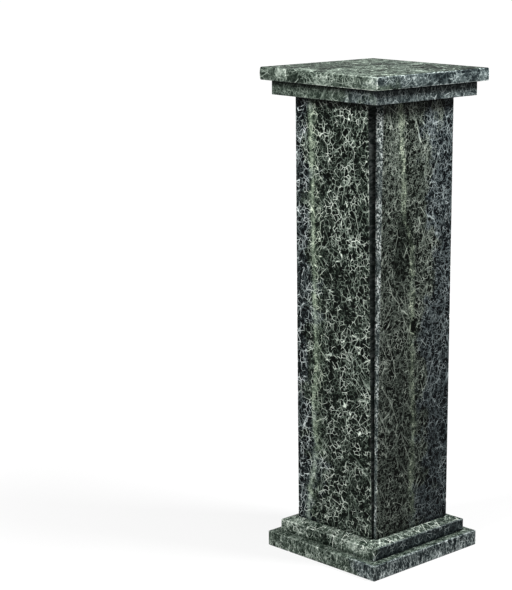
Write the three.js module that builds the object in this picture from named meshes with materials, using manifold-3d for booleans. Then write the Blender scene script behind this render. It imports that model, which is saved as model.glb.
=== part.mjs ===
// A marble pedestal: a hollow shaft of four mitred panels, narrower at its foot, between
// stepped head and foot slabs, drawn together by a hidden tie rod.
// Millimetres, +Z up, origin at the centre of the foot, front face towards -Y.

import * as THREE from 'three';
import { mergeVertices } from 'three/addons/utils/BufferGeometryUtils.js';
import Module from 'manifold-3d';

const wasm = await Module();
wasm.setup();

// Overall
const totalHeight = 1000;
const bedJoint = 0.3; // resin bed between two stones, and the seat of each metal piece

// Head: the cap slab over a smaller neck slab
const capWidth = 324;
const capThickness = 26;
const capArris = 2; // radius of the eased upper edge
const capBulge = 1; // how far the hand-dressed edge swells at mid thickness
const neckWidth = 290;
const neckThickness = 29;
const neckArris = 1;

// Shaft: four panels, leaning in towards the foot
const shaftTopWidth = 246;
const shaftFootWidth = 226;
const panelThickness = 30;
const quirkTop = 23; // the square cut down each corner, at the head of the shaft
const quirkFoot = 7.5; // the same cut at the foot
const panelArris = 1; // small chamfer on the long edges of a panel

// Foot: a tier with a weathered top over the plinth
const tierWidth = 270;
const tierFaceHeight = 25;
const tierSlopeRise = 8;
const tierSeatMargin = 2; // flat left round the shaft before the slope starts
const tierArris = 1;
const plinthWidth = 308;
const plinthThickness = 32;
const plinthArris = 2;

// Upright corners of every slab
const cornerEase = 2;
const cornerSteps = 3;
const arrisSteps = 3;

// Stone plugs that centre the shaft on the neck and on the tier
const plugThickness = 28;
const plugClearance = 0.5;

// Stone blocks bedded in the corners of the hollow, behind the mitres
const blockLeg = 32;
const blockLength = 70;
const blockTip = 4; // the corner taken off each block to clear the resin in the mitre
const blockEndMargin = 45; // from a plug to the nearest block

// Tie rod, washers and nuts
const rodDiameter = 12;
const rodProjection = 4; // thread left past each nut
const rodBoreClearance = 1; // round the rod in stone
const threadClearance = 0.3; // round the rod in a nut or washer
const washerDiameter = 40;
const washerThickness = 3;
const nutAcrossFlats = 18;
const nutHeight = 10;
const recessMargin = 3; // round a washer in its recess
const recessEndRoom = 1; // past the end of the rod
const roundSteps = 24;

// Levels, from the floor up
const tierBottom = plinthThickness + bedJoint;
const tierHeight = tierFaceHeight + tierSlopeRise;
const shaftBottom = tierBottom + tierHeight + bedJoint;
const capBottom = totalHeight - capThickness;
const neckTop = capBottom - bedJoint;
const neckBottom = neckTop - neckThickness;
const shaftTop = neckBottom - bedJoint;
const shaftHeight = shaftTop - shaftBottom;
const recessDepth = bedJoint + washerThickness + bedJoint + nutHeight + rodProjection + recessEndRoom;

const stone = (name) => new THREE.MeshStandardMaterial({ name, color: 0x4b5650, roughness: 0.22 });
const steel = (name) => new THREE.MeshStandardMaterial({ name, color: 0x9a9c9e, roughness: 0.35, metalness: 1 });

const pedestal = new THREE.Group();

function addPiece(name, geometry, material, z = 0, turn = 0) {
  const mesh = new THREE.Mesh(geometry, material(name));
  mesh.name = name;
  mesh.position.z = z;
  mesh.rotation.z = turn;
  pedestal.add(mesh);
  return mesh;
}

// Closed solid through outlines of equal count, from the lowest up; each is convex and anticlockwise.
function loft(sections) {
  const count = sections[0].outline.length;
  const positions = sections.flatMap(({ z, outline }) => outline.flatMap((p) => [p.x, p.y, z]));
  const index = [];
  for (let level = 0; level < sections.length - 1; level++) {
    for (let i = 0; i < count; i++) {
      const a = level * count + i;
      const b = level * count + ((i + 1) % count);
      index.push(a, b, b + count, a, b + count, a + count);
    }
  }
  const last = (sections.length - 1) * count;
  for (let i = 1; i < count - 1; i++) {
    index.push(0, i + 1, i);
    index.push(last, last + i, last + i + 1);
  }
  const geometry = new THREE.BufferGeometry();
  geometry.setAttribute('position', new THREE.Float32BufferAttribute(positions, 3));
  geometry.setIndex(index);
  geometry.computeVertexNormals();
  return geometry;
}

function toSolid(geometry) {
  const bare = geometry.clone();
  bare.deleteAttribute('normal');
  bare.deleteAttribute('uv');
  const merged = mergeVertices(bare);
  return new wasm.Manifold(new wasm.Mesh({
    numProp: 3,
    vertProperties: new Float32Array(merged.attributes.position.array),
    triVerts: new Uint32Array(merged.index.array),
  }));
}

function toGeometry(solid) {
  const { vertProperties, triVerts } = solid.getMesh();
  const geometry = new THREE.BufferGeometry();
  geometry.setAttribute('position', new THREE.BufferAttribute(vertProperties, 3));
  geometry.setIndex(new THREE.BufferAttribute(triVerts, 1));
  geometry.computeVertexNormals();
  return geometry;
}

function upright(radius, from, to) {
  const cylinder = new THREE.CylinderGeometry(radius, radius, to - from, roundSteps);
  return cylinder.rotateX(Math.PI / 2).translate(0, 0, (from + to) / 2);
}

// Takes round holes about the axis out of a piece; each hole runs between two levels of the piece.
function bore(geometry, holes) {
  const drilled = holes.reduce(
    (solid, { radius, from, to }) => solid.subtract(toSolid(upright(radius, from, to))),
    toSolid(geometry),
  );
  return toGeometry(drilled);
}

// ---- Slabs ----

function squareOutline(half, ease) {
  const outline = [];
  for (let corner = 0; corner < 4; corner++) {
    const start = corner * Math.PI / 2;
    const centre = new THREE.Vector2(half - ease, half - ease).rotateAround(new THREE.Vector2(), start);
    for (let step = 0; step <= cornerSteps; step++) {
      const angle = start + (step / cornerSteps) * Math.PI / 2;
      outline.push(new THREE.Vector2(Math.cos(angle), Math.sin(angle)).multiplyScalar(ease).add(centre));
    }
  }
  return outline;
}

// Quarter round at an upper edge: how far in and how far down each of its points lies.
function easedEdge(radius) {
  return Array.from({ length: arrisSteps + 1 }, (_, step) => {
    const angle = (step / arrisSteps) * Math.PI / 2;
    return { inset: radius * (1 - Math.cos(angle)), drop: radius * (1 - Math.sin(angle)) };
  });
}

// Square slab with eased edges above and below and sides that may swell slightly between them.
function slab(width, thickness, upperArris, lowerArris, bulge = 0) {
  const swell = (z) => bulge * (1 - Math.sin(Math.PI * z / thickness));
  const lower = easedEdge(lowerArris).map(({ inset, drop }) => ({ z: drop, inset })).reverse();
  const upper = easedEdge(upperArris).map(({ inset, drop }) => ({ z: thickness - drop, inset }));
  const middle = bulge > 0 ? [0.25, 0.5, 0.75].map((share) => ({ z: thickness * share, inset: 0 })) : [];
  return loft([...lower, ...middle, ...upper].map(({ z, inset }) => (
    { z, outline: squareOutline(width / 2 - inset - swell(z), cornerEase) }
  )));
}

// The tier: an upright face, an arris, then a slope up to the flat seat of the shaft.
function weatheredTier() {
  const seatHalf = shaftFootWidth / 2 + tierSeatMargin;
  const face = easedEdge(tierArris).map(({ inset, drop }) => ({ z: tierFaceHeight - drop, inset }));
  const sections = [
    { z: 0, inset: tierArris },
    { z: tierArris, inset: 0 },
    ...face,
    { z: tierHeight, inset: tierWidth / 2 - seatHalf },
  ];
  return loft(sections.map(({ z, inset }) => (
    { z, outline: squareOutline(tierWidth / 2 - inset, cornerEase) }
  )));
}

// ---- Shaft ----

const shaftShare = (z) => z / shaftHeight;
const shaftHalf = (z) => THREE.MathUtils.lerp(shaftFootWidth, shaftTopWidth, shaftShare(z)) / 2;
const quirk = (z) => THREE.MathUtils.lerp(quirkFoot, quirkTop, shaftShare(z));
const hollowHalf = (z) => shaftHalf(z) - panelThickness;

// Plan of the front panel at a height: face, quirk, mitre, back, and the same mirrored.
function panelOutline(z) {
  const face = shaftHalf(z);
  const edge = face - quirk(z);
  const back = hollowHalf(z);
  const setBack = bedJoint / Math.SQRT2; // half the resin joint, seen along the face
  const right = [
    new THREE.Vector2(edge - panelArris, -face),
    new THREE.Vector2(edge, -face + panelArris),
    new THREE.Vector2(edge, -edge - setBack),
    new THREE.Vector2(back - setBack, -back),
  ];
  const left = right.map((p) => new THREE.Vector2(-p.x, p.y)).reverse();
  return [...right, ...left];
}

function shaftPanel() {
  return loft([0, shaftHeight].map((z) => ({ z, outline: panelOutline(z) })));
}

// Block with its square corner against the backs of two neighbouring panels.
function cornerBlock(from) {
  const outlineAt = (z) => {
    const corner = hollowHalf(z) - bedJoint;
    return [
      new THREE.Vector2(corner - blockTip, -corner),
      new THREE.Vector2(corner, -corner + blockTip),
      new THREE.Vector2(corner, -corner + blockLeg),
      new THREE.Vector2(corner - blockLeg, -corner),
    ];
  };
  return loft([from, from + blockLength].map((z) => ({ z, outline: outlineAt(z) })));
}

// Plate that fills the end of the hollow, following its taper.
function plug(from) {
  const sections = [from, from + plugThickness].map((z) => (
    { z, outline: squareOutline(hollowHalf(z) - plugClearance, cornerEase) }
  ));
  return bore(loft(sections), [rodHole(from, from + plugThickness)]);
}

// ---- Tie rod ----

const overrun = 1; // how far a cutting cylinder passes the faces it opens
const rodRadius = rodDiameter / 2;

function rodHole(from, to) {
  return { radius: rodRadius + rodBoreClearance, from: from - overrun, to: to + overrun };
}

function recess(from, to) {
  return { radius: washerDiameter / 2 + recessMargin, from, to };
}

function ring(outline, height) {
  const hole = new THREE.Path();
  hole.absarc(0, 0, rodRadius + threadClearance, 0, 2 * Math.PI);
  outline.holes.push(hole);
  return new THREE.ExtrudeGeometry(outline, { depth: height, bevelEnabled: false, curveSegments: roundSteps / 2 });
}

function washer() {
  const disc = new THREE.Shape();
  disc.absarc(0, 0, washerDiameter / 2, 0, 2 * Math.PI);
  return ring(disc, washerThickness);
}

function nut() {
  const corners = Array.from({ length: 6 }, (_, side) => {
    const angle = side * Math.PI / 3;
    const reach = nutAcrossFlats / Math.sqrt(3);
    return new THREE.Vector2(Math.cos(angle), Math.sin(angle)).multiplyScalar(reach);
  });
  return ring(new THREE.Shape(corners), nutHeight);
}

// ---- Assembly ----

addPiece('plinth_slab', bore(slab(plinthWidth, plinthThickness, plinthArris, plinthArris), [
  rodHole(0, plinthThickness),
  recess(-overrun, recessDepth),
]), stone);

addPiece('tier_slab', bore(weatheredTier(), [rodHole(0, tierHeight)]), stone, tierBottom);

['front', 'right', 'back', 'left'].forEach((side, quarter) => {
  addPiece(`shaft_panel_${side}`, shaftPanel(), stone, shaftBottom, quarter * Math.PI / 2);
});

const upperPlugFrom = shaftHeight - plugThickness;
addPiece('lower_plug', plug(0), stone, shaftBottom);
addPiece('upper_plug', plug(upperPlugFrom), stone, shaftBottom);

const lowestBlock = plugThickness + blockEndMargin;
const highestBlock = upperPlugFrom - blockEndMargin - blockLength;
const blockLevels = { low: lowestBlock, middle: (lowestBlock + highestBlock) / 2, high: highestBlock };
['front_right', 'back_right', 'back_left', 'front_left'].forEach((corner, quarter) => {
  for (const [level, from] of Object.entries(blockLevels)) {
    addPiece(`corner_block_${corner}_${level}`, cornerBlock(from), stone, shaftBottom, quarter * Math.PI / 2);
  }
});

addPiece('neck_slab', bore(slab(neckWidth, neckThickness, neckArris, neckArris), [
  rodHole(0, neckThickness),
  recess(neckThickness - recessDepth, neckThickness + overrun),
]), stone, neckBottom);

addPiece('cap_slab', slab(capWidth, capThickness, capArris, neckArris, capBulge), stone, capBottom);

// Each washer bears on the closed end of its recess, with its nut on the open side.
const lowerWasherBottom = recessDepth - bedJoint - washerThickness;
const lowerNutBottom = lowerWasherBottom - bedJoint - nutHeight;
const upperWasherBottom = neckTop - recessDepth + bedJoint;
const upperNutBottom = upperWasherBottom + washerThickness + bedJoint;
addPiece('lower_washer', washer(), steel, lowerWasherBottom);
addPiece('lower_nut', nut(), steel, lowerNutBottom);
addPiece('upper_washer', washer(), steel, upperWasherBottom);
addPiece('upper_nut', nut(), steel, upperNutBottom);

const rodBottom = lowerNutBottom - rodProjection;
const rodTop = upperNutBottom + nutHeight + rodProjection;
addPiece('tie_rod', upright(rodRadius, rodBottom, rodTop), steel);

export default pedestal;
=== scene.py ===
import bpy
import math
from mathutils import Matrix, Vector


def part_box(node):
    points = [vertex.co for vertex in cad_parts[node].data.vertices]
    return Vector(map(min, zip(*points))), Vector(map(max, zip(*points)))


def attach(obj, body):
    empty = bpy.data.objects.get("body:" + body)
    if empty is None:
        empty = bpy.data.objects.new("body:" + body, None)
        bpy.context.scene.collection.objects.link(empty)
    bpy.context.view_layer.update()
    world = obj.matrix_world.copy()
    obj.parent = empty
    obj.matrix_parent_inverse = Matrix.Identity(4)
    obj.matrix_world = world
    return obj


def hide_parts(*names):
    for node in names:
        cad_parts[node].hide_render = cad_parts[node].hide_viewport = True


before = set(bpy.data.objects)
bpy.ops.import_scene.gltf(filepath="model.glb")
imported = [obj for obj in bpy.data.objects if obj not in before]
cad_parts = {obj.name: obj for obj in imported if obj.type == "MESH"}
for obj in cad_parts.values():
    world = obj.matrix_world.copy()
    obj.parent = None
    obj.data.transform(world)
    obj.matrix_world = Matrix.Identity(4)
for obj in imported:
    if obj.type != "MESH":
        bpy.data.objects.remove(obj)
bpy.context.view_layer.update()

quarterTurn = math.pi / 2
millimetresInMetre = 1000


def setStops(stops, colours):  # of a colour ramp
    while len(stops) > 1:
        stops.remove(stops[-1])
    stops[0].position = colours[0][0]
    for place, colour in colours[1:]:
        stops.new(place)
    for stop, (place, colour) in zip(stops, colours):
        stop.color = (*colour, 1)


def setPoints(mapping, points):  # of a curve
    line = mapping.curves[0].points
    line[0].location, line[1].location = points[0], points[-1]
    for point in points[1:-1]:
        line.new(*point)
    mapping.update()


class Wire:  # one socket of a node tree, on which sums can be written
    def __init__(self, tree, socket=None):
        self.tree = tree
        self.socket = socket

    def node(self, kind, settings=None, sockets=None, out=0):  # any node: settings, then values and links
        made = self.tree.nodes.new(kind)
        for name, value in (settings or {}).items():
            if name == "stops":
                setStops(made.color_ramp.elements, value)
            elif name == "points":
                setPoints(made.mapping, value)
            else:
                setattr(made, name, value)
        for key, value in (sockets or {}).items():
            if isinstance(value, Wire):
                self.tree.links.new(value.socket, made.inputs[key])
            else:
                made.inputs[key].default_value = value
        if len(made.outputs):  # an output node has none
            return Wire(self.tree, made.outputs[out])

    def sum(self, operation, first, second):
        def isVector(value):
            return isinstance(value, tuple) or isinstance(value, Wire) and value.socket.type == "VECTOR"

        if not isVector(first) and not isVector(second):
            return self.node("ShaderNodeMath", {"operation": operation}, {0: first, 1: second})
        if operation == "MULTIPLY" and not (isVector(first) and isVector(second)):
            vector, number = (first, second) if isVector(first) else (second, first)
            return self.node("ShaderNodeVectorMath", {"operation": "SCALE"}, {0: vector, 3: number})
        return self.node("ShaderNodeVectorMath", {"operation": operation}, {0: first, 1: second})

    def __add__(self, other):
        return self.sum("ADD", self, other)

    def __radd__(self, other):
        return self.sum("ADD", other, self)

    def __sub__(self, other):
        return self.sum("SUBTRACT", self, other)

    def __rsub__(self, other):
        return self.sum("SUBTRACT", other, self)

    def __mul__(self, other):
        return self.sum("MULTIPLY", self, other)

    def __rmul__(self, other):
        return self.sum("MULTIPLY", other, self)

    def __truediv__(self, other):
        return self.sum("DIVIDE", self, other)

    def math(self, operation, other=0.0):
        return self.node("ShaderNodeMath", {"operation": operation}, {0: self, 1: other})

    def vector(self, x=0.0, y=0.0, z=0.0):
        return self.node("ShaderNodeCombineXYZ", {}, {0: x, 1: y, 2: z})

    def part(self, axis):  # x, y or z of a vector
        return self.node("ShaderNodeSeparateXYZ", {}, {0: self}, out="XYZ".index(axis))

    def length(self):  # of a vector
        return self.node("ShaderNodeVectorMath", {"operation": "LENGTH"}, {0: self}, out="Value")

    def turned(self, axis, angle):  # a vector turned about the x, y or z axis
        return self.node("ShaderNodeVectorRotate", {"rotation_type": f"{axis}_AXIS"}, {
            "Vector": self, "Angle": angle,
        })

    def ramp(self, low, high, start=0.0, end=1.0):  # a straight rise between low and high, level outside
        return self.node("ShaderNodeMapRange", {"clamp": True}, {0: self, 1: low, 2: high, 3: start, 4: end})

    def ease(self, low, high, start=0.0, end=1.0):  # the same with soft ends
        return self.node("ShaderNodeMapRange", {"interpolation_type": "SMOOTHSTEP"}, {
            0: self, 1: low, 2: high, 3: start, 4: end,
        })

    def within(self, reach):  # 1 where this is 0, down to 0 at reach on either side
        return 1 - self.math("ABSOLUTE").ease(0, reach)

    def noise(self, size, detail=2.0, roughness=0.5, out="Fac"):  # clouds that are about size across
        return self.node("ShaderNodeTexNoise", {}, {
            "Vector": self, "Scale": 1 / size, "Detail": detail, "Roughness": roughness,
        }, out=out)

    def web(self, size, feature="DISTANCE_TO_EDGE", out="Distance"):  # cells that are about size across
        return self.node("ShaderNodeTexVoronoi", {"feature": feature}, {
            "Vector": self, "Scale": 1 / size,
        }, out=out)

    def attribute(self, name):
        return self.node("ShaderNodeAttribute", {"attribute_name": name}, out="Fac")

    def tint(self, amount, colour, blend="MIX"):  # this colour with another laid over it
        laid = (*colour, 1) if isinstance(colour, tuple) else colour
        return self.node("ShaderNodeMix", {"data_type": "RGBA", "blend_type": blend}, {
            0: amount, 6: self, 7: laid,
        }, out=2)


def screenColour(*channels):  # a colour as a picture editor gives it, 0 to 255, to scene linear
    return tuple(((c / 255 + 0.055) / 1.055) ** 2.4 if c > 10 else c / 255 / 12.92 for c in channels)


def distance(first, second):  # of a point that is this far off along two square directions
    return (first * first + second * second).math("SQRT")


def makePiece(name, mesh):
    piece = bpy.data.objects.new(name, mesh)
    bpy.context.collection.objects.link(piece)
    return piece


def newMaterial(name):
    material = bpy.data.materials.new(name)
    material.use_nodes = True
    material.node_tree.nodes.clear()
    return material, Wire(material.node_tree)


# The camera
photograph = {
    "size": (512, 590),
    "middle": (377.6, 295.5),     # pixel that the lens looks straight at
    "focalLength": 1805,          # in pixels
    "sensor": 36,
    "place": (2.497, -2.599, 1.303),
    "yaw": math.radians(-43.72),
    "down": math.radians(12.02),
    "roll": math.radians(-0.33),
    "farthest": 200,              # metres, past the edge of the floor
}


def addCamera(shot):
    width, height = shot["size"]
    lens = bpy.data.cameras.new("camera")
    lens.sensor_width = shot["sensor"]
    lens.lens = shot["focalLength"] * shot["sensor"] / height
    lens.shift_x = (width / 2 - shot["middle"][0]) / height
    lens.shift_y = (shot["middle"][1] - height / 2) / height
    lens.clip_end = shot["farthest"]
    yaw, down, roll = shot["yaw"], shot["down"], shot["roll"]
    ahead = Vector((math.cos(down) * math.sin(yaw), math.cos(down) * math.cos(yaw), -math.sin(down)))
    across = Vector((math.cos(yaw), -math.sin(yaw), 0))
    below = ahead.cross(across)
    right = math.cos(roll) * across + math.sin(roll) * below
    lower = math.cos(roll) * below - math.sin(roll) * across
    turned = Matrix((right, -lower, -ahead)).transposed().to_4x4()
    camera = bpy.data.objects.new("camera", lens)
    camera.matrix_world = Matrix.Translation(shot["place"]) @ turned
    bpy.context.collection.objects.link(camera)
    bpy.context.scene.camera = camera


addCamera(photograph)
print("camera set")


# Marble. Its paleness runs from 0 for the darkest ground to 1 for the whitest vein, at these stops
paleStops = (0.00, 0.07, 0.17, 0.31, 0.47, 0.70, 1.00)


def stoneRamp(*colours):
    return [(stop, screenColour(*colour)) for stop, colour in zip(paleStops, colours)]


greenStone = stoneRamp((2, 4, 2), (13, 18, 14), (37, 44, 38), (74, 82, 75),
                       (115, 124, 115), (179, 187, 176), (246, 250, 238))
mossStone = stoneRamp((2, 5, 3), (12, 18, 14), (34, 44, 37), (71, 82, 73),
                      (111, 124, 113), (176, 188, 176), (243, 251, 240))
blueStone = stoneRamp((2, 4, 6), (12, 18, 21), (35, 42, 46), (69, 78, 81),
                      (110, 120, 122), (176, 186, 187), (240, 248, 250))

coarse = 0.6  # roughness of the noise for clouds with ragged edges

# How the grain is bent: size of the bends in millimetres, detail, and how far they reach
grainBends = [(15, 2, 5), (4.5, 1, 0.6)]

# Clouds: an offset in the stone, size in millimetres, detail, the noise between which one comes in, and
# its values there
stoneClouds = {
    "gaps": ((0, 0, 0), 34, 3, (0.40, 0.60), (0.0, 1.0)),      # 0 in close stone, 1 in open dark stone
    "haze": ((60, 7, 20), 19, 3, (0.38, 0.68), (0.0, 1.0)),
    "flecks": ((11, 70, 30), 2.4, 1, (0.44, 0.60), (0.0, 1.0)),
    "mottle": ((0, 0, 0), 4, 2, (0.36, 0.60), (0.7, 1.3)),     # of the patches
    "breaks": ((33, 8, 4), 15, 3, (0.38, 0.58), (0.6, 1.0)),   # in the bands
    "rim": ((5, 50, 500), 10, 4, (0.50, 0.66), (0.0, 1.0)),    # on the sides of a slab
}

# Webs of veins: an offset, size of the cells in millimetres, width of a line in cells, the noise between
# which a line comes in, size of the clumps in cells, an offset of the clumps, and the web's strength in
# close and in open stone
veinWebs = {
    "crackle": {"shift": (0, 0, 0), "size": 4.5, "line": 0.15, "fade": (0.42, 0.55),
                "clump": 1.9, "clumpShift": (40, 0, 9), "strength": (1.0, 0.65)},
    "net": {"shift": (21, 7, 13), "size": 8, "line": 0.085, "fade": (0.43, 0.53),
            "clump": 1.5, "clumpShift": (5, 15, 25), "strength": (0.7, 1.1)},
    "lace": {"shift": (7, 3, 5), "size": 13, "line": 0.06, "fade": (0.44, 0.54),
             "clump": 1.5, "clumpShift": (3, 50, 1), "strength": (0.7, 1.1)},
    "bold": {"shift": (1, 9, 2), "size": 25, "line": 0.036, "fade": (0.50, 0.58),
             "clump": 0.9, "clumpShift": (8, 5, 60), "strength": (1.0, 1.0)},
}

# Threads: webs drawn out along two slanting directions
veinThreads = {
    "slant": {"lean": 0.55, "size": 15, "line": 0.045, "fade": (0.50, 0.64),
              "clump": 1.7, "clumpShift": (90, 5, 1)},
    "slope": {"lean": -0.45, "size": 17, "line": 0.045, "fade": (0.50, 0.64),
              "clump": 1.7, "clumpShift": (9, 45, 71)},
}
threadFigure = {"squeeze": (1.0, 1.0, 0.22), "bend": 0.4}  # bend: share of the grain's bends they follow

# The rest of the figure, in millimetres
stoneFigure = {
    "streakSize": 5.5, "streakSqueeze": (1, 1, 0.12),
    "cloudSize": 80, "blueSize": 60, "blueFade": 0.14,
    "flecksOnLines": 0.3,                       # share of the flecks that shows on the lines
    "cheekFade": (0.3, 0.7), "cheekSpread": (0.42, 0.62),
    "cheekClouds": {"size": 24, "fade": (0.34, 0.60), "values": (0.45, 1.25)},
    "cornerFade": 12, "blueOnTop": 0.1,         # of the sides of a slab
    "edgeMarkSize": 8,
    "olive": (0.97, 1.0, 0.89), "oliveFrom": (0.0, 0.35),  # the tint of the bands, and how strong they are
}
bandFigure = {
    "height": 1000, "reach": 150,               # of the paths: upwards, and to each side
    "baySize": 16, "fraySize": 3.5, "fray": 9,  # of the ragged edges
}
patchFigure = {"fraySize": 6, "fray": 2.2, "fade": (0.6, 0.95)}  # in millimetres, then in shares of a reach

stonePolish = {
    "reliefSize": 5, "reliefOfVeins": 0.7, "reliefOfStone": 0.3, "bump": 0.1, "bumpHeight": 0.0003,
    "roughness": 0.16, "smearSize": 30, "smear": 0.12, "edgeRoughness": 0.15, "edgeCoat": 0.3,
    "coatRoughness": 0.09, "coatIor": 1.5,
}


def cloudOf(block, name):
    shift, size, detail, fade, values = stoneClouds[name]
    return (block + shift).noise(size, detail, coarse).ease(*fade, *values)


def veinsOf(block, web):  # thin lines that come and go in clumps
    line = 1 - block.web(web["size"]).ease(0.0, web["line"])
    clumps = (block + web["clumpShift"]).noise(web["size"] * web["clump"], 2, coarse)
    return line * clumps.ease(*web["fade"])


def threadsOf(block, thread):
    return veinsOf(block.turned("Y", thread["lean"]) * threadFigure["squeeze"], thread)


def bandOf(across, level, bent, band):  # a pale streak that follows its path up the panel
    height, reach = bandFigure["height"], bandFigure["reach"]
    points = [(z / height, 0.5 + x / (2 * reach)) for z, x in band["path"]]
    share = level * (1 / height)
    path = level.node("ShaderNodeFloatCurve", {"points": points}, {"Value": share}, out="Value")
    centre = (path - 0.5) * (2 * reach)
    bays = (bent.noise(bandFigure["baySize"], 3, coarse) - 0.5) * band["ragged"]
    frays = (bent.noise(bandFigure["fraySize"], 2) - 0.5) * bandFigure["fray"]
    offset = across - centre + bays + frays
    core = offset.within(band["width"]) * band["strength"]
    glow = (offset + band["glowShift"]).within(band["glowWidth"]) * band["glow"]
    return (core + glow) * cloudOf(bent, "breaks")


def patchOf(block, bent, patch):  # a soft ragged blob, 1 at its middle
    apart = block - patch["middle"]
    if "lean" in patch:
        apart = apart.turned("Y", patch["lean"])
    apart = apart * tuple(1 / reach for reach in patch["reach"])
    fray = (bent.noise(patchFigure["fraySize"], 3, coarse) - 0.5) * patchFigure["fray"]
    return 1 - (apart.length() + fray).ease(*patchFigure["fade"])


def marble(name, look):
    figure = stoneFigure
    material, start = newMaterial(name)
    stand = (start.node("ShaderNodeTexCoord", out="Object") * millimetresInMetre).turned("Z", -look["turn"])
    across, level = stand.part("X"), stand.part("Z")
    block = stand + look["cut"]
    grain = start.node("ShaderNodeVectorRotate", {"rotation_type": "EULER_XYZ"}, {
        "Vector": block, "Rotation": look["grainTurn"],
    }) * look["grainScale"]
    bent = grain
    for size, detail, reach in grainBends:
        bent = bent + (grain.noise(size, detail, out="Color") - (0.5, 0.5, 0.5)) * reach

    # The ground, with a tone of its own in each cell of the net
    cells = (bent + veinWebs["net"]["shift"]).web(veinWebs["net"]["size"], "F1", "Color").part("X") - 0.5
    streak = (bent * figure["streakSqueeze"]).noise(figure["streakSize"], 3, coarse) - 0.5
    cloud = grain.noise(figure["cloudSize"], 4, coarse) - 0.5
    paleness = look["ground"] + cloudOf(bent, "haze") * look["haze"] + cloud * look["cloud"] \
        + streak * look["streak"] + cells * look["cells"]
    washes = []  # tints that are laid over the colour in the end
    if look["bands"]:
        strand = sum(bandOf(across, level, bent, band) for band in look["bands"])
        paleness = paleness + strand
        washes.append((strand.ease(*figure["oliveFrom"]), figure["olive"]))

    # The lines, which fade in some of the patches
    gaps = cloudOf(grain, "gaps")
    lines = {}
    for web, values in veinWebs.items():
        strength = gaps.ramp(0, 1, *values["strength"]) * look[web]
        lines[web] = veinsOf(bent + values["shift"], values) * strength
    mottle = cloudOf(bent, "mottle")
    for patch in look["patches"]:
        spot = patchOf(stand, bent, patch)
        paleness = paleness + spot * (mottle * patch["pale"])
        for web in ("crackle", "net", "lace"):
            lines[web] = lines[web] * (1 - spot * patch["still"])
    straighter = grain + (bent - grain) * threadFigure["bend"]
    for thread, values in veinThreads.items():
        lines[thread] = threadsOf(straighter, values) * look["threads"]
    crackle = lines.pop("crackle")
    flecks = cloudOf(bent, "flecks") * look["flecks"]
    paleness = paleness + flecks + crackle
    for line in lines.values():
        paleness = paleness.math("MAXIMUM", line + flecks * figure["flecksOnLines"])

    # Where the stone is blue-grey
    blueward = start.node("ShaderNodeVectorMath", {"operation": "DOT_PRODUCT"}, {
        0: stand, 1: look["blueSide"],
    }, out="Value")
    blue = grain.noise(figure["blueSize"], 3, coarse) + blueward
    blue = blue.ease(look["blueFrom"], look["blueFrom"] + figure["blueFade"]) * look["blueDepth"]

    # The sides of a slab, which were cut across the grain of its top, with painted shading on its right and
    # back sides
    if look["rim"]:
        rim = start.attribute("rim")
        paintedShadingSides = rim * (across + stand.part("Y")).ramp(-figure["cornerFade"], figure["cornerFade"])
        paleness = paleness + rim * (cloudOf(grain, "rim") * look["rim"]["pale"] + look["rim"]["lift"])
        # painted shading of the right and back sides: shade where the value is above 0, painted light where
        # it is below 0
        paleness = paleness * (1 - paintedShadingSides * look["rim"]["shade"])
        blue = blue * rim.ramp(0, 1, figure["blueOnTop"], 1)

    # The cheeks of the notches on the panel's left (-1) and right (1), which are other stone than the face
    for side, tone in look["cheeks"].items():
        on = (start.attribute("cheek") * side).ramp(*figure["cheekFade"])
        clouds = figure["cheekClouds"]
        own = (bent * tone["grain"]).noise(tone["size"], 3, coarse).ease(*figure["cheekSpread"])
        own = own * tone["spread"] * bent.noise(clouds["size"], 2).ease(*clouds["fade"], *clouds["values"])
        own = tone["ground"] + own + crackle * tone["crackle"]
        paleness = paleness + (own - paleness) * on
        blue = blue + (tone["blue"] - blue) * on
        washes.append((on, tone["tint"]))

    # Painted shade in a band round each given level, where the pieces meet under an overhang or at a foot;
    # where the depth is below 0 it is painted light instead, paler towards that level
    for shadedLevel, reach, depth in look["joints"]:
        paleness = paleness * (1 - (level - shadedLevel).within(reach) * depth)

    edge = start.attribute("edge")
    # painted highlight along the arrises, with pale wear, broken into dashes
    edgeMark = block.noise(figure["edgeMarkSize"], 3, coarse).ease(*look["edgeBreaks"])
    if look["edgeSpan"]:
        edgeMark = edgeMark * across.ramp(*look["edgeSpan"])
    paleness = paleness + edge * edgeMark * look["edgeWearAndHighlight"]

    green = start.node("ShaderNodeValToRGB", {"stops": look["stone"]}, {"Fac": paleness}, out="Color")
    cool = start.node("ShaderNodeValToRGB", {"stops": blueStone}, {"Fac": paleness}, out="Color")
    colour = green.tint(blue, cool)
    for amount, tint in washes:
        colour = colour.tint(amount, tint, "MULTIPLY")

    polish = stonePolish
    swells = block.noise(polish["reliefSize"], 3)
    relief = paleness * polish["reliefOfVeins"] + swells * polish["reliefOfStone"]
    bump = start.node("ShaderNodeBump", {}, {
        "Strength": polish["bump"], "Distance": polish["bumpHeight"], "Height": relief,
    }, out="Normal")
    smear = block.noise(polish["smearSize"], 4, coarse) * polish["smear"]
    shader = start.node("ShaderNodeBsdfPrincipled", {}, {
        "Base Color": colour, "Normal": bump,
        "Roughness": smear + polish["roughness"] + edge * polish["edgeRoughness"],
        "Coat Weight": edge * polish["edgeCoat"] + look["gloss"],
        "Specular IOR Level": 0.0, "Coat Roughness": polish["coatRoughness"], "Coat IOR": polish["coatIor"],
    }, out="BSDF")
    start.node("ShaderNodeOutputMaterial", {}, {"Surface": shader})
    return material
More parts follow.
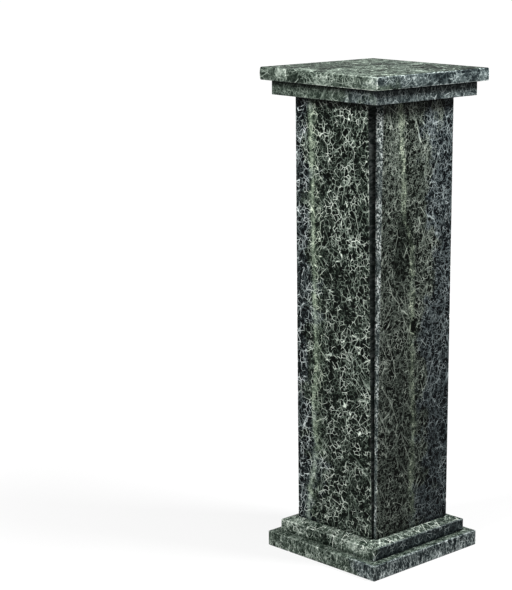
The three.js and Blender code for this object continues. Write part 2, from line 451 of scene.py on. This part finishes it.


# What a stone is like unless it says otherwise: how it is turned and cut from the block, how strong each
# part of its figure is, and the levels of its painted shading as (height in millimetres, reach, depth)
plainMarble = {
    "stone": mossStone, "turn": 0.0, "cut": (0, 0, 0),
    "grainTurn": (0.0, 0.0, 0.0), "grainScale": (1.0, 1.0, 1.0),
    "ground": -0.10, "haze": 0.05, "cloud": 0.20, "streak": 0.05, "flecks": 0.05, "cells": 0.06,
    "net": 0.63, "crackle": 0.43, "lace": 1.0, "threads": 0.6, "bold": 0.95,
    "bands": [], "patches": [], "cheeks": {}, "rim": {}, "joints": [],
    "blueSide": (0, 0, 0), "blueFrom": 0.50, "blueDepth": 0.8,
    "edgeWearAndHighlight": 0.2, "edgeBreaks": (0.40, 0.62), "edgeSpan": None, "gloss": 0.07,
}


# What the Geometry Nodes trees of the stones share
wear = {
    "reach": 0.004,               # how far from an arris the stone is chipped
    "shine": 0.0022,              # and how far it is marked pale, as a painted highlight with wear, and glossier
    "chipSize": 0.011, "chipFade": (0.60, 0.74), "nibbleSize": 0.0028,
    "sharpAngle": math.radians(32),
}
weld = 0.00001                    # points closer than this become one, in metres


def newTree(name, sizes):  # a tree with an input for each size, for the wear and for the material
    tree = bpy.data.node_groups.new(name, "GeometryNodeTree")
    tree.interface.new_socket("Geometry", in_out="OUTPUT", socket_type="NodeSocketGeometry")
    numbers = {**sizes, "Chip": 0.001, "Nibble": 0.0003, "Seed": 0.0}
    for label, value in numbers.items():
        socket = tree.interface.new_socket(label, in_out="INPUT", socket_type="NodeSocketFloat")
        socket.default_value = value
    tree.interface.new_socket("Material", in_out="INPUT", socket_type="NodeSocketMaterial")
    start = Wire(tree)
    return tree, {label: start.node("NodeGroupInput", out=label) for label in (*numbers, "Material")}


def stretchesOf(counts, row):  # how far along each named stretch of rows a row has come, 0 to 1
    shares = {}
    first = 0
    for name, count in counts.items():
        shares[name] = row.ramp(first, first + count)
        first += count
    return shares


def marked(stone, name, value):  # keeps a value at each point, for the material
    return stone.node("GeometryNodeStoreNamedAttribute", {"data_type": "FLOAT", "domain": "POINT"}, {
        "Geometry": stone, "Name": name, "Value": value,
    })


def wornStone(stone, near, given):  # nibbles the arrises, marks them, and finishes the tree
    place = stone.node("GeometryNodeInputPosition") + stone.vector(given["Seed"])
    chips = place.noise(wear["chipSize"], 2).ease(*wear["chipFade"]) * given["Chip"]
    nibbles = place.noise(wear["nibbleSize"], 2) * given["Nibble"]
    depth = (1 - near.ease(0, wear["reach"])) * (chips + nibbles)
    inward = stone.node("GeometryNodeInputNormal") * (depth * -1)
    stone = marked(stone, "edge", 1 - near.ease(0, wear["shine"]))
    stone = stone.node("GeometryNodeSetPosition", {}, {"Geometry": stone, "Offset": inward})
    stone = stone.node("GeometryNodeSetShadeSmooth", {}, {"Geometry": stone})
    stone = stone.node("GeometryNodeSetMaterial", {}, {"Geometry": stone, "Material": given["Material"]})
    stone = stone.node("GeometryNodeRealizeInstances", {}, {"Geometry": stone})
    stone.node("NodeGroupOutput", {}, {"Geometry": stone})


def grown(name, tree, values, placing):  # runs the tree and keeps its result as a plain mesh in its place
    seedling = makePiece(name + "_seed", bpy.data.meshes.new(name))
    modifier = seedling.modifiers.new("stone", "NODES")
    modifier.node_group = tree
    for item in tree.interface.items_tree:
        if item.in_out == "INPUT" and item.name in values:
            modifier[item.identifier] = values[item.name]
    bpy.context.view_layer.update()
    mesh = bpy.data.meshes.new_from_object(seedling.evaluated_get(bpy.context.evaluated_depsgraph_get()))
    bpy.data.objects.remove(seedling)
    mesh.transform(placing)
    mesh.set_sharp_from_angle(angle=wear["sharpAngle"])
    mesh.name = name
    return makePiece(name, mesh)


# Slabs
slabMesh = {
    "straight": 282, "bend": 18,  # columns along one side and round one corner
    "rows": {
        "underside": 1, "lowerRim": 1, "lowerArris": 5, "side": 16,
        "upperArris": 6, "slope": 8, "upperRim": 1, "top": 1,
    },
    "bunching": 0.85,             # how much the rows of a side gather at its arrises
    "rim": 0.03,                  # share of the half width between an arris and the next row on the flat
    "rimDepth": (0.0015, 0.003),  # how far in from its sides a slab is marked as rim
    "boreSides": 48,
    "boreMargin": 0.001,          # how far the drill stands out of the stone
}


def slabTree():
    tree, given = newTree("squareSlab", {
        "Width": 0.3, "Thickness": 0.03, "Corner": 0.002, "Upper Arris": 0.002, "Lower Arris": 0.001,
        "Swell": 0.0, "Slope Run": 0.0, "Slope Rise": 0.0,
        "Bore": 0.0, "Recess": 0.0, "Recess Low": 0.0, "Recess High": 0.0,
    })
    start = Wire(tree)
    sideColumns = slabMesh["straight"] + slabMesh["bend"]
    rowCount = sum(slabMesh["rows"].values())
    sheet = start.node("GeometryNodeMeshGrid", {}, {
        "Size X": 1.0, "Size Y": 1.0, "Vertices X": 4 * sideColumns + 1, "Vertices Y": rowCount + 1,
    })
    spot = start.node("GeometryNodeInputPosition")
    at = stretchesOf(slabMesh["rows"], (spot.part("Y") + 0.5) * rowCount)

    # The section, from the middle of the underside out, up and back to the middle of the top
    lower = at["lowerArris"] * quarterTurn
    upper = at["upperArris"] * quarterTurn
    faceHeight = given["Thickness"] - given["Slope Rise"]
    wave = (at["side"] * (2 * math.pi)).math("SINE") * (slabMesh["bunching"] / (2 * math.pi))
    level = (1 - lower.math("COSINE")) * given["Lower Arris"] \
        + (at["side"] - wave) * (faceHeight - given["Lower Arris"] - given["Upper Arris"]) \
        + upper.math("SINE") * given["Upper Arris"] + at["slope"] * given["Slope Rise"]
    hollow = 1 - (level / given["Thickness"] * math.pi).math("SINE")
    inset = (1 - lower.math("SINE")) * given["Lower Arris"] \
        + (1 - upper.math("COSINE")) * given["Upper Arris"] \
        + at["slope"] * given["Slope Run"] + hollow * given["Swell"]
    rim = slabMesh["rim"]
    reach = (at["underside"] - at["top"]) * (1 - rim) + (at["lowerRim"] - at["upperRim"]) * rim

    # The outline, from one corner along a side and round the next corner
    turn = (spot.part("X") + 0.5) * 4
    side = turn.math("FLOOR")
    share = slabMesh["straight"] / sideColumns
    along = (turn - side).ramp(0, share)
    bend = (turn - side).ramp(share, 1) * quarterTurn
    half = given["Width"] * 0.5
    core = half - inset - given["Corner"]
    outline = start.vector(
        (along * 2 - 1) * core + bend.math("SINE") * given["Corner"],
        core * -1 - bend.math("COSINE") * given["Corner"],
    ).turned("Z", side * quarterTurn)
    stone = start.node("GeometryNodeSetPosition", {}, {
        "Geometry": sheet, "Position": outline * reach + start.vector(z=level),
    })
    stone = start.node("GeometryNodeMergeByDistance", {}, {"Geometry": stone, "Distance": weld})

    def drilled(solid, radius, low, high):  # with a round hole in it, or as it is where the radius is 0
        pin = start.node("GeometryNodeMeshCylinder", {"fill_type": "NGON"}, {
            "Vertices": slabMesh["boreSides"], "Radius": radius, "Depth": high - low,
        })
        pin = start.node("GeometryNodeTransform", {}, {
            "Geometry": pin, "Translation": start.vector(z=(high + low) * 0.5),
        })
        cut = start.node("GeometryNodeMeshBoolean", {"operation": "DIFFERENCE", "solver": "EXACT"}, {
            0: solid, 1: pin,
        })
        return start.node("GeometryNodeSwitch", {"input_type": "GEOMETRY"}, {
            0: radius.math("GREATER_THAN"), 1: solid, 2: cut,
        })

    margin = slabMesh["boreMargin"]
    stone = drilled(stone, given["Bore"], -margin, given["Thickness"] + margin)  # for the tie rod
    stone = drilled(stone, given["Recess"], given["Recess Low"], given["Recess High"])  # for its nut

    spot = start.node("GeometryNodeInputPosition")
    wide = half - spot.part("X").math("ABSOLUTE")
    deep = half - spot.part("Y").math("ABSOLUTE")
    face = wide.math("MINIMUM", deep)
    near = distance(face, faceHeight - spot.part("Z"))
    near = near.math("MINIMUM", distance(face, spot.part("Z")))
    near = near.math("MINIMUM", distance(wide, deep))
    stone = marked(stone, "rim", 1 - face.ease(*slabMesh["rimDepth"]))
    wornStone(stone, near, given)
    return tree


slabShape = slabTree()


def addSlab(name, node, shape, look):
    low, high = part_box(node)
    values = dict(shape)
    values["Width"] = high[0] - low[0]
    values["Thickness"] = high[2] - low[2]
    values["Material"] = marble(name, look)
    piece = grown(name, slabShape, values, Matrix.Translation((0, 0, low[2])))
    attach(piece, "root")
    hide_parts(node)
    return piece


plainSlab = {"Corner": 0.0008, "Upper Arris": 0.001, "Lower Arris": 0.001}
slabMarble = {
    **plainMarble, "grainTurn": (0.0, 0.0, 0.6), "ground": 0.0, "blueSide": (0.003, 0.003, 0),
    "edgeWearAndHighlight": 0.3, "edgeBreaks": (0.36, 0.54),
}

capSlab = {**plainSlab, "Upper Arris": 0.002, "Swell": 0.001, "Chip": 0.0016, "Nibble": 0.0004, "Seed": 3.1}
capMarble = {
    **slabMarble, "cut": (55, 410, 30), "grainScale": (0.52, 0.52, 0.7), "gloss": 0.08, "ground": 0.03,
    "crackle": 0.46, "flecks": 0.06, "net": 0.30, "cells": 0.02, "haze": 0.24, "lace": 0.52, "bold": 0.6,
    # painted shade on the right and back sides
    "threads": 0.5, "rim": {"pale": 0.06, "lift": 0.10, "shade": 0.16},
    # a strong painted highlight with pale wear along the arrises, growing towards the right
    "edgeWearAndHighlight": 1.0, "edgeSpan": (-60, 60),
    "patches": [
        {"middle": (148, -162, 986), "reach": (18, 8, 22), "pale": 0.16, "still": 0.2},
        # the next two are painted shade on the top, darker at the back right towards the fill lamp and at the
        # front left
        {"middle": (108, 98, 1000), "reach": (90, 90, 12), "pale": -0.27, "still": 0.15},
        {"middle": (-80, -80, 1000), "reach": (60, 60, 12), "pale": -0.12, "still": 0.0},
        {"middle": (162, -112, 986), "reach": (8, 34, 14), "pale": -0.08, "still": 0.3},
        {"middle": (-98, -162, 992), "reach": (24, 8, 12), "pale": 0.30, "still": 0.2},
        {"middle": (10, -162, 984), "reach": (26, 8, 16), "lean": 0.6, "pale": 0.22, "still": 0.3},
        {"middle": (-58, -162, 984), "reach": (24, 8, 12), "pale": -0.12, "still": 0.6},
        {"middle": (162, 25, 986), "reach": (8, 30, 14), "pale": -0.22, "still": 0.6},
        {"middle": (162, 150, 988), "reach": (12, 26, 16), "pale": 0.06, "still": 0.2},
    ],
}
addSlab("cap", "cap_slab", capSlab, capMarble)

neckSlab = {
    **plainSlab, "Chip": 0.001, "Nibble": 0.0003, "Seed": 7.7,
    "Bore": 0.007, "Recess": 0.023, "Recess Low": 0.0104, "Recess High": 0.031,
}
neckMarble = {
    **slabMarble, "cut": (155, -310, 130), "grainScale": (0.75, 0.75, 0.7), "ground": 0.09,
    "lace": 0.6, "bold": 0.4, "threads": 0.4, "crackle": 0.36, "net": 0.44, "blueFrom": 0.24, "edgeWearAndHighlight": 0.0,
    # painted light on the right and back sides, and painted shade at the top, under the cap
    "rim": {"pale": 0.14, "lift": 0.06, "shade": -0.12}, "joints": [(974, 7, 0.9)],
}
addSlab("neck", "neck_slab", neckSlab, neckMarble)

tierSlab = {
    **plainSlab, "Slope Run": 0.020, "Slope Rise": 0.008, "Chip": 0.0014, "Nibble": 0.0004, "Seed": 11.3,
    "Bore": 0.007,
}
tierMarble = {
    **slabMarble, "cut": (-355, 210, 230), "grainScale": (0.9, 0.9, 0.8), "ground": 0.15,
    "lace": 1.15, "bold": 1.3, "crackle": 0.5, "blueFrom": 0.36,
    # painted shade on the right and back sides, and at the foot, over the plinth
    "rim": {"pale": 0.16, "lift": 0.06, "shade": 0.55}, "joints": [(32, 9, 0.5)],
    "patches": [
        {"middle": (-20, -135, 46), "reach": (50, 8, 24), "pale": -0.16, "still": 0.5},
        {"middle": (72, -130, 52), "reach": (20, 14, 14), "pale": 0.22, "still": 0.4},
        {"middle": (-98, -128, 60), "reach": (24, 14, 8), "pale": 0.25, "still": 0.2},
    ],
}
addSlab("tier", "tier_slab", tierSlab, tierMarble)

plinthSlab = {
    **plainSlab, "Upper Arris": 0.002, "Lower Arris": 0.002, "Chip": 0.0018, "Nibble": 0.0005, "Seed": 19.9,
    "Bore": 0.007, "Recess": 0.023, "Recess Low": -0.001, "Recess High": 0.0186,
}
plinthMarble = {
    **slabMarble, "cut": (255, 110, -130), "grainScale": (0.95, 0.95, 0.55), "ground": 0.145,
    "lace": 0.4, "bold": 0.3, "crackle": 0.46, "net": 0.60, "streak": 0.50, "threads": 0.3, "blueFrom": 0.32,
    # painted light on the right and back sides, and paler towards the floor as painted light
    "rim": {"pale": 0.22, "lift": -0.02, "shade": -0.12}, "joints": [(0, 26, -0.35)],
}
addSlab("plinth", "plinth_slab", plinthSlab, plinthMarble)
print("slabs made")


# Shaft
panelMesh = {
    "around": {"face": 3, "faceRim": 6, "arris": 5, "cheek": 8, "mitre": 2, "back": 2},  # of half a section
    "up": {"foot": 1, "height": 580, "head": 1},
    "rim": 0.006,                 # how far from its arris the face has close columns
}

shaftPanels = {
    "Foot Width": 0.226, "Head Width": 0.246, "Panel": 0.030, "Foot Quirk": 0.0075, "Head Quirk": 0.023,
    "Joint": 0.0003, "Arris": 0.001, "Chip": 0.0012, "Nibble": 0.0003,
}
firstSeed = 2.3                   # of the front panel, and one more for each panel after it

darkCheek = {
    "ground": 0.135, "spread": 0.16, "size": 6, "grain": (0.3, 0.3, 1.0), "crackle": 0.15, "blue": 0.3,
    "tint": (1.0, 0.87, 0.95),
}
paleCheek = {
    "ground": 0.18, "spread": 0.60, "size": 3.6, "grain": (1.0, 1.0, 1.0), "crackle": 0.08, "blue": 0.6,
    "tint": (1.0, 1.0, 1.0),
}

shaftMarble = {
    # painted shade at the top, under the neck, and at the foot, over the tier
    **plainMarble, "stone": greenStone, "ground": -0.12, "joints": [(945, 8, 0.85), (65, 14, 0.45)],
}
plainBand = {"width": 12, "ragged": 18, "strength": 0.26, "glowWidth": 32, "glow": 0.12, "glowShift": 0}
through = 999                     # reach of a patch that goes right through its panel, in millimetres

panelLooks = {
    "front": {
        **shaftMarble, "stone": mossStone, "cut": (310, 40, 700), "grainTurn": (0.0, 0.10, 0.0),
        "ground": -0.165, "blueSide": (-0.004, 0, 0), "blueFrom": 0.67,
        "bands": [{
            "path": [(74, -75), (130, -69), (219, -52), (325, -57), (369, -50), (535, -51), (739, -54),
                     (898, -57)],
            "width": 11, "ragged": 16, "strength": 0.42, "glowWidth": 34, "glow": 0.23, "glowShift": -8,
        }],
        "patches": [
            {"middle": (8, 0, 590), "reach": (46, through, 130), "lean": 0.3, "pale": -0.05, "still": 0.25},
            {"middle": (-92, 0, 690), "reach": (18, through, 200), "pale": 0.07, "still": 0.1},
            {"middle": (80, 0, 780), "reach": (22, through, 150), "lean": 0.3, "pale": 0.03, "still": 0.1},
            {"middle": (-10, 0, 130), "reach": (120, through, 110), "pale": 0.08, "still": 0.0},
            {"middle": (66, 0, 600), "reach": (38, through, 340), "pale": -0.06, "still": 0.05},
            {"middle": (-8, 0, 430), "reach": (34, through, 130), "pale": -0.06, "still": 0.1},
        ],
        "cheeks": {1: darkCheek, -1: darkCheek},
    },
    "right": {
        **shaftMarble, "turn": quarterTurn, "cut": (-220, 95, -300), "grainTurn": (0.0, -0.06, 0.0),
        "grainScale": (1.0, 1.0, 0.9), "ground": -0.09, "streak": 0.12, "flecks": 0.06, "cells": 0.05,
        "cloud": 0.14, "net": 0.62, "crackle": 0.53, "lace": 0.58, "threads": 0.66, "bold": 0.55,
        "blueSide": (0.004, 0, -0.0001), "blueDepth": 0.9,
        "bands": [{
            "path": [(102, 1), (189, -5), (273, -1), (337, -6), (411, -8), (504, -10), (627, -15),
                     (678, -23), (720, -39), (789, -41), (849, -48), (919, -53)],
            "width": 13, "ragged": 20, "strength": 0.29, "glowWidth": 32, "glow": 0.12, "glowShift": 6,
        }],
        "patches": [
            {"middle": (-8, 0, 491), "reach": (12, through, 24), "pale": -0.45, "still": 1.0},
            {"middle": (-44, 0, 650), "reach": (34, through, 110), "lean": -0.15, "pale": -0.13,
             "still": 0.35},
            {"middle": (20, 0, 260), "reach": (130, through, 260), "pale": -0.04, "still": 0.12},
            {"middle": (44, 0, 890), "reach": (22, through, 90), "lean": -0.25, "pale": 0.12, "still": 0.0},
            {"middle": (10, 0, 900), "reach": (130, through, 150), "pale": 0.035, "still": 0.0},
            {"middle": (-78, 0, 850), "reach": (34, through, 110), "pale": 0.09, "still": 0.0},
        ],
        "cheeks": {-1: paleCheek, 1: darkCheek},
    },
    "back": {
        **shaftMarble, "turn": 2 * quarterTurn, "cut": (75, -160, 120), "grainTurn": (0.0, 0.22, 0.0),
        "bands": [{**plainBand, "path": [(60, 40), (400, 22), (700, 35), (950, 20)]}],
        "cheeks": {-1: darkCheek, 1: paleCheek},
    },
    "left": {
        **shaftMarble, "turn": 3 * quarterTurn, "cut": (-410, 260, 510), "grainTurn": (0.0, -0.15, 0.0),
        "bands": [{**plainBand, "path": [(60, -30), (400, -12), (700, -35), (950, -50)]}],
        "cheeks": {-1: darkCheek, 1: darkCheek},
    },
}


def panelTree():
    tree, given = newTree("shaftPanel", {
        "Foot Width": 0.2, "Head Width": 0.2, "Panel": 0.03, "Foot Quirk": 0.01, "Head Quirk": 0.01,
        "Joint": 0.0003, "Arris": 0.001, "Height": 0.9,
    })
    start = Wire(tree)
    columns = sum(panelMesh["around"].values())
    rowCount = sum(panelMesh["up"].values())
    sheet = start.node("GeometryNodeMeshGrid", {}, {
        "Size X": 2.0, "Size Y": 1.0, "Vertices X": 2 * columns + 1, "Vertices Y": rowCount + 1,
    })
    spot = start.node("GeometryNodeInputPosition")
    sign = spot.part("X").math("SIGN")
    up = stretchesOf(panelMesh["up"], (spot.part("Y") + 0.5) * rowCount)
    at = stretchesOf(panelMesh["around"], spot.part("X").math("ABSOLUTE") * columns)
    sheet = marked(sheet, "cheek", at["cheek"].ramp(0, 1 / panelMesh["around"]["cheek"]) * sign)

    def between(foot, head, share):
        return foot + (head - foot) * share

    def sectionSizes(share):  # from the middle of the shaft to the face, the notch and the back
        face = between(given["Foot Width"], given["Head Width"], share) * 0.5
        return face, face - between(given["Foot Quirk"], given["Head Quirk"], share), face - given["Panel"]

    # Half a section, from the middle of the face out to the notch, in along the mitre and along the back
    face, edge, back = sectionSizes(up["height"])
    setBack = given["Joint"] * math.sqrt(0.5)
    arris = given["Arris"]
    bend = at["arris"] * quarterTurn
    rim = panelMesh["rim"]
    x = at["face"] * (edge - rim) + at["faceRim"] * (rim - arris) + bend.math("SINE") * arris \
        - at["mitre"] * (edge - back + setBack) - at["back"] * (back - setBack)
    y = (1 - bend.math("COSINE")) * arris - face + at["cheek"] * (face - arris - edge - setBack) \
        + at["mitre"] * (edge + setBack - back)
    closed = up["foot"] - up["head"]  # 1 up the height, and 0 in the middle of the foot and the head
    middle = (face + back) * -0.5
    place = start.vector(x * closed * sign, middle + (y - middle) * closed, up["height"] * given["Height"])
    stone = start.node("GeometryNodeSetPosition", {}, {"Geometry": sheet, "Position": place})
    stone = start.node("GeometryNodeMergeByDistance", {}, {"Geometry": stone, "Distance": weld})

    spot = start.node("GeometryNodeInputPosition")
    face, edge, back = sectionSizes(spot.part("Z") / given["Height"])
    wornStone(stone, distance(edge - spot.part("X").math("ABSOLUTE"), face + spot.part("Y")), given)
    return tree


panelShape = panelTree()

for quarter, side in enumerate(("front", "right", "back", "left")):
    node = f"shaft_panel_{side}"
    low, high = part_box(node)
    values = dict(shaftPanels)
    values["Height"] = high[2] - low[2]
    values["Seed"] = firstSeed + quarter
    values["Material"] = marble(f"panel_{side}", panelLooks[side])
    turned = Matrix.Translation((0, 0, low[2])) @ Matrix.Rotation(quarter * quarterTurn, 4, "Z")
    panel = grown(f"panel_{side}", panelShape, values, turned)
    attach(panel, "root")
    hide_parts(node)
print("shaft made")


# Hidden pieces
sawnMarble = {**plainMarble, "cut": (900, 33, 70), "edgeWearAndHighlight": 0.0, "gloss": 0.0}
zincPlate = {
    "spangleSize": 0.004, "spangleFade": (0.35, 0.7), "dark": (0.42, 0.43, 0.44), "light": (0.62, 0.63, 0.64),
    "scratchSize": 0.01, "scratchSqueeze": (1, 1, 30), "scratch": 0.3, "roughness": 0.25,
}


def zinc(name, look):
    material, start = newMaterial(name)
    place = start.node("ShaderNodeTexCoord", out="Object")
    spangle = place.noise(look["spangleSize"], 4, coarse).ease(*look["spangleFade"])
    scratches = (place * look["scratchSqueeze"]).noise(look["scratchSize"], 3)
    colour = start.node("ShaderNodeMix", {"data_type": "RGBA"}, {
        0: spangle, 6: (*look["dark"], 1), 7: (*look["light"], 1),
    }, out=2)
    shader = start.node("ShaderNodeBsdfPrincipled", {}, {
        "Base Color": colour, "Metallic": 1.0, "Roughness": scratches * look["scratch"] + look["roughness"],
    }, out="BSDF")
    start.node("ShaderNodeOutputMaterial", {}, {"Surface": shader})
    return material


dressing = [
    (("block", "plug"), marble("sawnStone", sawnMarble)),
    (("rod", "nut", "washer"), zinc("zincSteel", zincPlate)),
]
for name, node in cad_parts.items():
    for words, material in dressing:
        if any(word in name for word in words):
            node.data.materials.clear()
            node.data.materials.append(material)
print("hidden pieces dressed")


# Studio
studio = {
    "floor": 30.0, "floorColour": 0.25,
    "glowNear": 0.74, "glowFar": 1.0,  # the backdrop's own white, near the stand and far from it
    "glowReach": (0.5, 3.0),
    "world": 0.12,
}
lamps = {
    "key": {"place": (-0.3, -2.6, 2.9), "target": (0, 0, 0.6), "size": 1.5, "power": 128.0},
    "fill": {"place": (0.9, 0.5, 2.0), "target": (0, 0, 0.9), "size": 0.6, "power": 50.0},
}


def backdropRays(start):  # 1 for the rays that see the white backdrop, 0 for those that only light the stand
    camera, glossy, clear = (
        start.node("ShaderNodeLightPath", out=f"Is {ray} Ray") for ray in ("Camera", "Glossy", "Transmission")
    )
    return camera.math("MAXIMUM", glossy).math("MAXIMUM", clear)


def addFloor():
    half = studio["floor"]
    corners = [(-half, -half, 0), (half, -half, 0), (half, half, 0), (-half, half, 0)]
    mesh = bpy.data.meshes.new("floor")
    mesh.from_pydata(corners, [], [(0, 1, 2, 3)])
    floor = makePiece("floor", mesh)
    material, start = newMaterial("paper")
    tone = studio["floorColour"]
    paper = start.node("ShaderNodeBsdfDiffuse", {}, {"Color": (tone, tone, tone, 1)})
    away = start.node("ShaderNodeTexCoord", out="Object").length()
    white = away.ease(*studio["glowReach"], studio["glowNear"], studio["glowFar"])
    glow = start.node("ShaderNodeEmission", {}, {"Strength": backdropRays(start) * white})
    both = start.node("ShaderNodeAddShader", {}, {0: paper, 1: glow})
    start.node("ShaderNodeOutputMaterial", {}, {"Surface": both})
    mesh.materials.append(material)


def addWorld():
    world = bpy.data.worlds.new("studio")
    world.use_nodes = True
    world.node_tree.nodes.clear()
    start = Wire(world.node_tree)
    strength = studio["world"] + backdropRays(start) * (1 - studio["world"])
    glow = start.node("ShaderNodeBackground", {}, {"Color": (1, 1, 1, 1), "Strength": strength})
    start.node("ShaderNodeOutputWorld", {}, {"Surface": glow})
    bpy.context.scene.world = world


def addLamp(name, place, target, size, power):
    light = bpy.data.lights.new(name, "AREA")
    light.shape = "SQUARE"
    light.size = size
    light.energy = power
    lamp = bpy.data.objects.new(name, light)
    lamp.location = place
    lamp.rotation_euler = (Vector(target) - Vector(place)).to_track_quat("-Z", "Y").to_euler()
    lamp.visible_camera = False
    bpy.context.collection.objects.link(lamp)


addFloor()
addWorld()
for name, lamp in lamps.items():
    addLamp(name, **lamp)
bpy.context.scene.view_settings.view_transform = "Standard"
print("studio lit")
